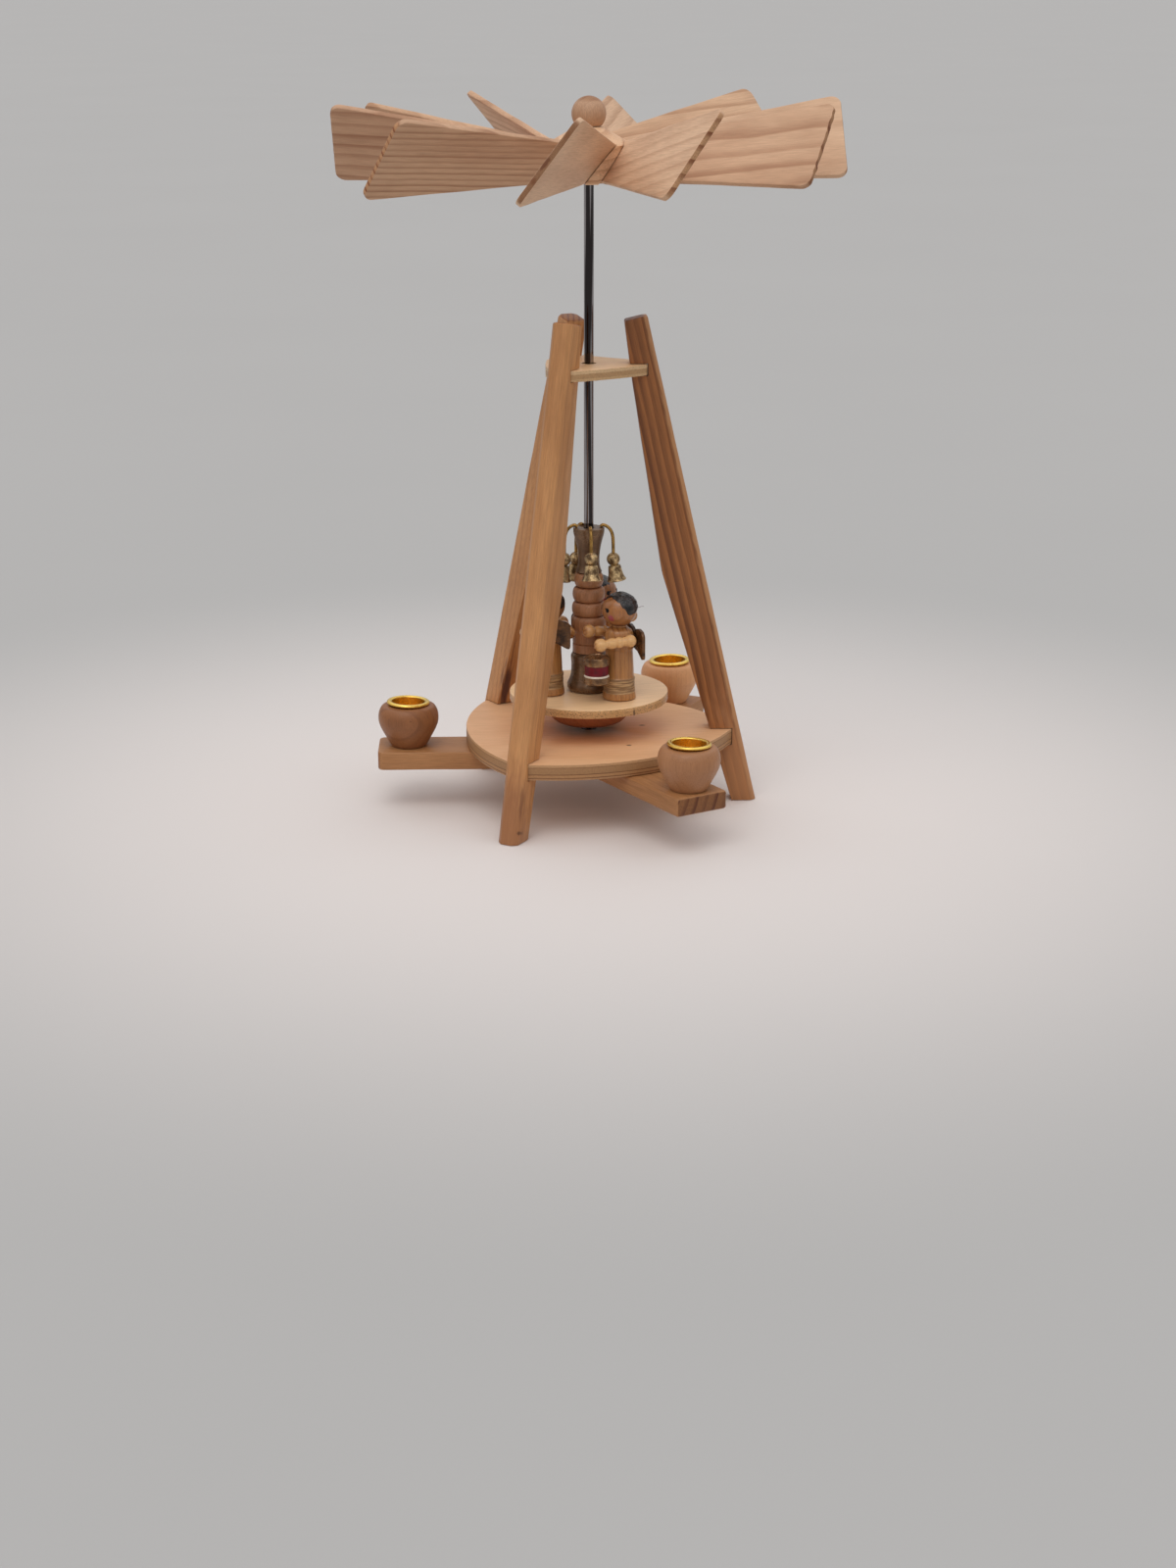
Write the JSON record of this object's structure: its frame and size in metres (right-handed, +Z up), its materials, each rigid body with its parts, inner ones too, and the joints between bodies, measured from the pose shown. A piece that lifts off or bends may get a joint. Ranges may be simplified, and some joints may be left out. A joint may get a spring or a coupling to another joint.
{
  "type": "christmas pyramid",
  "caption": "Pine candle carousel: a lift-off wing wheel on a steel shaft that spins with a stage of turned musicians above candle arms.",
  "frame": {"origin": "on the floor under the shaft, on the shaft's axis", "axes": "+Z up along the shaft, +X towards the right leg, -Y towards the viewer"},
  "size_m": [0.2042, 0.2036, 0.2919],
  "materials": {
    "leg_pine": "sanded reddish pine with a dark straight grain",
    "hub_pine": "sanded turned wood",
    "pale_pine": "sanded pale pine",
    "plate_wood": "sanded plywood with layered edges",
    "turned_wood": "turned beech, oiled",
    "holder_wood": "turned beech, waxed",
    "figure_wood": "turned wood, lacquered",
    "limb_wood": "turned pale wood, lacquered",
    "bronze_paint": "bronze paint on wood",
    "gold_metal": "aged gold",
    "brass": "bright pressed brass",
    "steel": "polished steel",
    "red_paint": "crimson paint on wood",
    "paper": "pale painted wood"
  },
  "bodies": {
    "frame": {"base_plate": "plate_wood", "upper_plate": "plate_wood", "bearing_cup": "steel", "leg_right": "leg_pine", "leg_back_left": "leg_pine", "leg_front_left": "leg_pine", "candle_arm_back_right": "leg_pine", "candle_arm_left": "leg_pine", "candle_arm_front_right": "leg_pine", "candle_holder_back_right": "holder_wood", "candle_holder_left": "holder_wood", "candle_holder_front_right": "holder_wood", "candle_cup_back_right": "brass", "candle_cup_left": "brass", "candle_cup_front_right": "brass"},
    "rotor": {"shaft": "steel", "turntable": "plate_wood", "turntable_dome": "turned_wood", "column_foot": "bronze_paint", "column_body": "turned_wood", "column_neck": "bronze_paint", "bell_right": "gold_metal", "bell_front": "gold_metal", "bell_left": "gold_metal", "bell_back": "gold_metal", "bell_wire_right": "gold_metal", "bell_wire_front": "gold_metal", "bell_wire_left": "gold_metal", "bell_wire_back": "gold_metal", "figure_front_right_body": "figure_wood", "figure_front_right_head": "limb_wood", "figure_front_right_arm_left": "limb_wood", "figure_front_right_arm_right": "limb_wood", "figure_front_right_wings": "bronze_paint", "figure_left_body": "figure_wood", "figure_left_head": "limb_wood", "figure_left_arm_left": "limb_wood", "figure_left_arm_right": "limb_wood", "figure_left_wings": "bronze_paint", "figure_back_right_body": "figure_wood", "figure_back_right_head": "limb_wood", "figure_back_right_arm_left": "limb_wood", "figure_back_right_arm_right": "limb_wood", "figure_back_right_wings": "bronze_paint", "figure_front_right_drum": "red_paint", "figure_left_book": "paper", "figure_back_right_squeezebox": "red_paint"},
    "wheel": {"wheel_hub": "hub_pine", "knob": "pale_pine", "blade_01": "pale_pine", "blade_02": "pale_pine", "blade_03": "pale_pine", "blade_04": "pale_pine", "blade_05": "pale_pine", "blade_06": "pale_pine", "blade_07": "pale_pine", "blade_08": "pale_pine", "blade_09": "pale_pine", "blade_10": "pale_pine"}
  },
  "joints": [
    {"name": "rotor_spin", "type": "hinge", "parent": "frame", "child": "rotor", "pos_m": [0, 0, 0.0303], "axis": [0, 0, 1], "continuous": true},
    {"name": "wheel_lift", "type": "slide", "parent": "rotor", "child": "wheel", "axis": [0, 0, 1], "range_m": [0, 0.016]}
  ]
}
